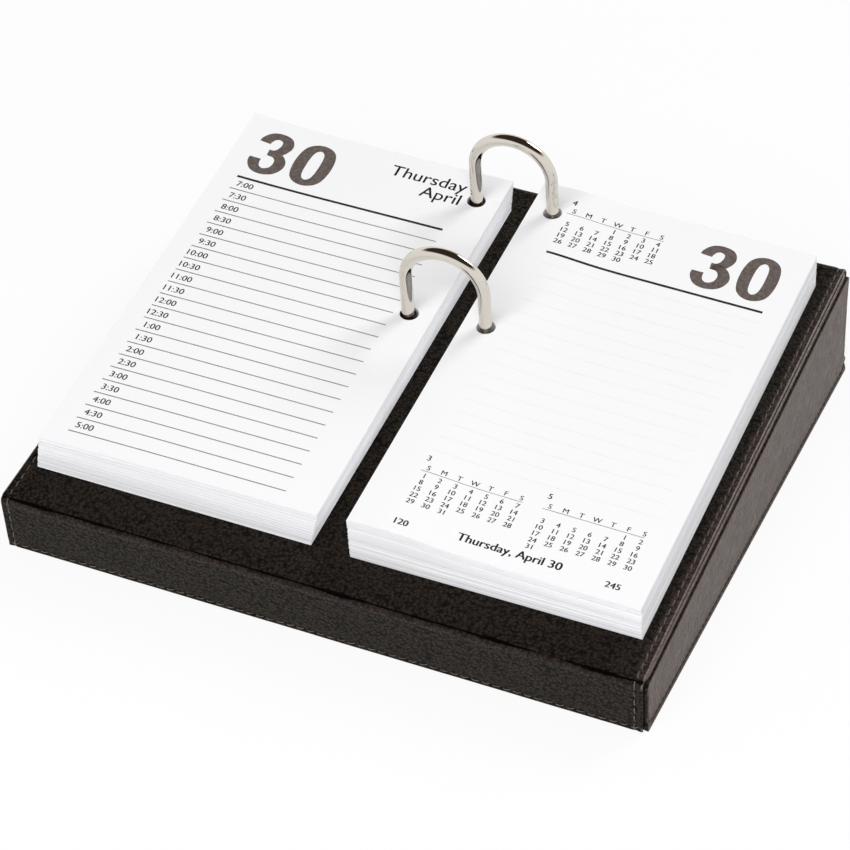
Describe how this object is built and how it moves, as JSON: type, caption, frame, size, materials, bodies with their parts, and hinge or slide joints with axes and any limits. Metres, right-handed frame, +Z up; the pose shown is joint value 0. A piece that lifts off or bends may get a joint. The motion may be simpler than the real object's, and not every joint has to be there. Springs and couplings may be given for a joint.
{
  "type": "desk calendar",
  "caption": "Sloping leather-covered desk base with a side drawer and two stacks of loose calendar pages on wire arches.",
  "frame": {"origin": "middle of the footprint, on the desk", "axes": "+X right, across both stacks; +Y to the rear, up the slope; +Z up"},
  "size_m": [0.2024, 0.1834, 0.0828],
  "materials": {
    "cover_leather": "bonded leather, pebbled, satin black",
    "side_leather": "bonded leather, pebbled, satin black",
    "lining_leather": "bonded leather, satin black",
    "foam": "thin polyester padding",
    "fibreboard": "medium density fibreboard",
    "felt": "black pressed felt",
    "plate_steel": "zinc plated",
    "screw_steel": "zinc plated",
    "nickel": "bright nickel plate",
    "post_metal": "bright nickel plate",
    "page_paper": "uncoated white, printed"
  },
  "bodies": {
    "base": {"bottom_felt": "felt", "bottom_board": "fibreboard", "bottom_screws": "screw_steel", "front_board": "fibreboard", "rear_board": "fibreboard", "left_side_board": "fibreboard", "top_board": "fibreboard", "arch_plate": "plate_steel", "plate_screws": "screw_steel", "wrap_padding": "foam", "wrap_cover": "cover_leather", "left_edge_lining": "lining_leather", "right_edge_lining": "lining_leather", "left_side_cover": "side_leather", "drawer_stop": "fibreboard", "front_left_post": "post_metal", "front_right_post": "post_metal", "rear_left_post": "post_metal", "rear_right_post": "post_metal"},
    "drawer": {"drawer_front": "fibreboard", "drawer_face": "side_leather", "drawer_floor": "fibreboard", "drawer_front_wall": "fibreboard", "drawer_rear_wall": "fibreboard", "drawer_back_wall": "fibreboard"},
    "front_arch": {"front_arch": "nickel"},
    "rear_arch": {"rear_arch": "nickel"},
    "left_pages": {"left_pages": "page_paper"},
    "right_pages": {"right_pages": "page_paper"},
    "left_leaf": {"left_leaf": "page_paper"},
    "right_leaf": {"right_leaf": "page_paper"}
  },
  "joints": [
    {"name": "front_arch_lift", "type": "slide", "parent": "base", "child": "front_arch", "axis": [0, -0.1226, 0.9925], "range_m": [0, 0.02]},
    {"name": "rear_arch_lift", "type": "slide", "parent": "base", "child": "rear_arch", "axis": [0, -0.1226, 0.9925], "range_m": [0, 0.02]},
    {"name": "left_pages_lift", "type": "slide", "parent": "base", "child": "left_pages", "axis": [0, -0.1226, 0.9925], "range_m": [0, 0.012]},
    {"name": "right_pages_lift", "type": "slide", "parent": "base", "child": "right_pages", "axis": [0, -0.1226, 0.9925], "range_m": [0, 0.012]},
    {"name": "left_leaf_turn", "type": "hinge", "parent": "left_pages", "child": "left_leaf", "pos_m": [-0.00038, -0.00356, 0.04815], "axis": [0, 0.9925, 0.1226], "range_deg": [0, 182.96], "deforming": ["left_leaf"]},
    {"name": "right_leaf_turn", "type": "hinge", "parent": "right_pages", "child": "right_leaf", "pos_m": [-0.00038, -0.00356, 0.04815], "axis": [0, -0.9925, -0.1226], "range_deg": [0, 182.96], "deforming": ["right_leaf"]},
    {"name": "drawer_slide", "type": "slide", "parent": "base", "child": "drawer", "axis": [1, 0, 0], "range_m": [0, 0.11]}
  ]
}
